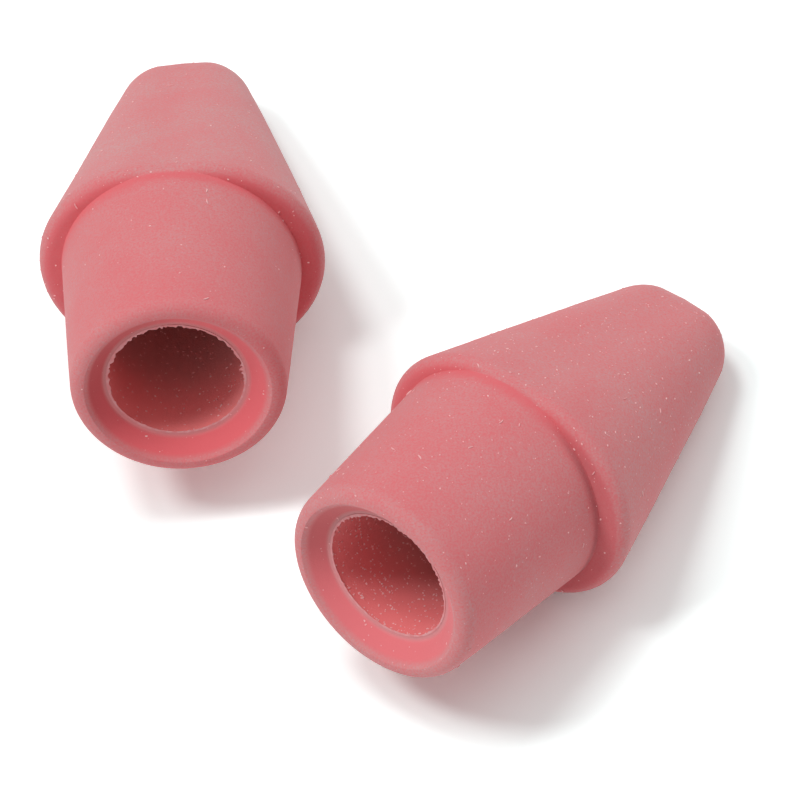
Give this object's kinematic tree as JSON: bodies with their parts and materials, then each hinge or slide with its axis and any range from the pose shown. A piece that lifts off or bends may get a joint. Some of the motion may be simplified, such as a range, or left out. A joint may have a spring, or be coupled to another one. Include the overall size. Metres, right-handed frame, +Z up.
{
  "type": "pencil eraser topper",
  "caption": "Moulded rubber pencil eraser caps lying loose: round skirt with a countersunk blind socket for a pencil end, overhanging collar and oval head tapering to a blunt chisel tip.",
  "frame": {"origin": "on the table, in the middle of the box round both toppers as they lie", "axes": "+Z up from the table; +Y runs away from the viewer of the picture, roughly the way the left topper's tip points; +X to the viewer's right"},
  "size_m": [0.0328, 0.0402, 0.0134],
  "materials": {
    "left_rubber": "matt moulded rubber, lightly dusted",
    "right_rubber": "matt moulded rubber, lightly dusted"
  },
  "bodies": {
    "left_cap": {"left_topper": "left_rubber"},
    "right_cap": {"right_topper": "right_rubber"}
  },
  "joints": [
    {"name": "right_lift", "type": "slide", "parent": "left_cap", "child": "right_cap", "axis": [0, 0, 1], "range_m": [0, 0.03]}
  ]
}
